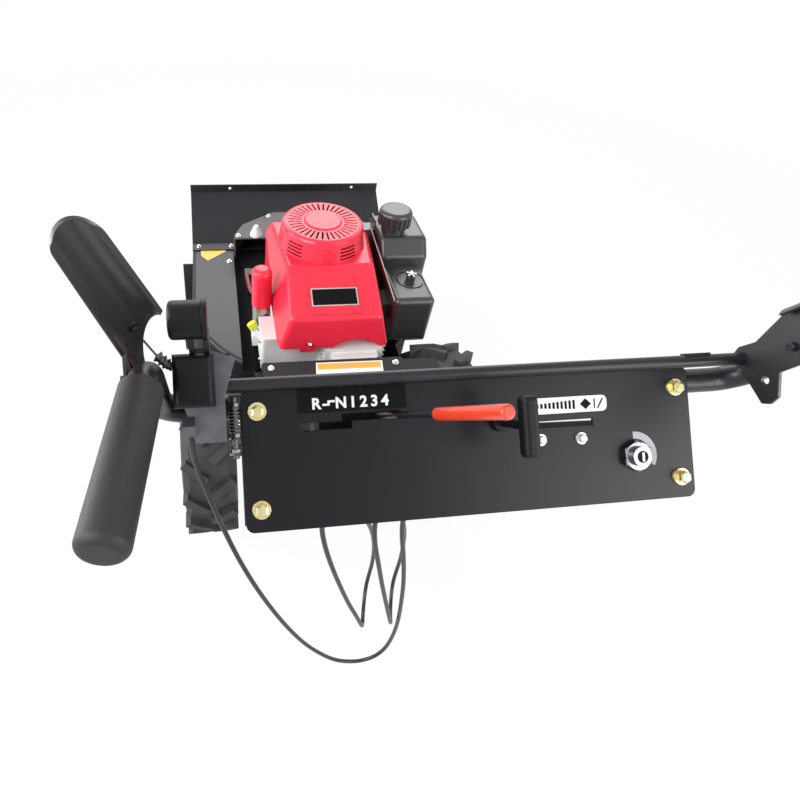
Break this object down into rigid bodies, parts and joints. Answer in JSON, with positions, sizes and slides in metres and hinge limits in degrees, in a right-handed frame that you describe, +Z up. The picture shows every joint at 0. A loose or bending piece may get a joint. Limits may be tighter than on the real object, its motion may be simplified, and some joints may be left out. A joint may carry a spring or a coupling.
{
  "type": "walk-behind rough cut mower",
  "caption": "Walk-behind rough cut mower: front deck with slanted guard, vertical-shaft engine, lugged drive wheels, slanted control console, grips, hand levers and hanging cables.",
  "frame": {"origin": "on the ground, under the middle of the machine's length and width, cables left out", "axes": "+Y forward towards the front guard, +X to the operator's right, +Z up"},
  "size_m": [0.72, 1.6232, 1.1172],
  "materials": {
    "black_coat": "satin",
    "grey_coat": "satin",
    "rim_paint": "satin",
    "red_paint": "gloss",
    "cast_alloy": "cast",
    "gearbox_paint": "cast",
    "cast_iron": "rough",
    "steel": "brushed",
    "zinc": "satin",
    "muffler_black": "matte",
    "tank_plastic": "matte",
    "black_plastic": "matte",
    "cap_plastic": "matte",
    "dipstick_plastic": "gloss",
    "grip_vinyl": "gloss",
    "tyre": "matte",
    "grip_rubber": "matte",
    "cable_sheath": "satin"
  },
  "bodies": {
    "chassis": {"deck": "black_coat", "front_guard": "black_coat", "skid_right": "black_coat", "skid_left": "black_coat", "frame_rail_right": "black_coat", "frame_rail_left": "black_coat", "engine_platform": "black_coat", "upright_right": "black_coat", "upright_left": "black_coat", "console_bracket_right": "black_coat", "console_bracket_left": "black_coat", "console_panel": "black_coat", "handle_cross_tube": "black_coat", "handle_arm_right": "black_coat", "handle_arm_left": "black_coat", "lever_right": "black_coat", "lever_left": "black_coat", "lever_rod": "black_coat", "latch_stalk": "black_coat", "rear_cover": "black_coat", "cable_anchor": "black_coat", "shift_frame": "black_coat", "belt_cover": "grey_coat", "engine_shroud": "red_paint", "recoil_cover": "red_paint", "starter_cover": "red_paint", "engine_block": "cast_alloy", "head_cover": "cast_alloy", "transaxle": "gearbox_paint", "spindle_housing": "cast_iron", "starter_motor": "steel", "key_switch": "zinc", "shift_lever": "zinc", "control_bracket": "zinc", "latch_bracket": "zinc", "muffler": "muffler_black", "fuel_tank": "tank_plastic", "fuel_cap": "tank_plastic", "air_cleaner": "tank_plastic", "tee_handle": "black_plastic", "latch_box": "black_plastic", "latch_knob": "black_plastic", "cover_cap": "cap_plastic", "dipstick": "dipstick_plastic", "shift_grip": "grip_vinyl", "grip_right": "grip_rubber", "grip_left": "grip_rubber", "cable_a": "cable_sheath", "cable_b": "cable_sheath", "cable_c": "cable_sheath"},
    "left_wheel": {"half_axle_left": "steel", "rim_left": "rim_paint", "tyre_left": "tyre"},
    "right_wheel": {"half_axle_right": "steel", "rim_right": "rim_paint", "tyre_right": "tyre"},
    "blade": {"blade_bar": "steel", "blade_spindle": "steel"}
  },
  "joints": [
    {"name": "left_wheel_spin", "type": "hinge", "parent": "chassis", "child": "left_wheel", "pos_m": [-0.282, -0.14361, 0.208], "axis": [1, 0, 0], "continuous": true},
    {"name": "right_wheel_spin", "type": "hinge", "parent": "chassis", "child": "right_wheel", "pos_m": [0.282, -0.14361, 0.208], "axis": [1, 0, 0], "continuous": true},
    {"name": "blade_spin", "type": "hinge", "parent": "chassis", "child": "blade", "pos_m": [0, 0.33139, 0.1], "axis": [0, 0, 1], "continuous": true}
  ]
}
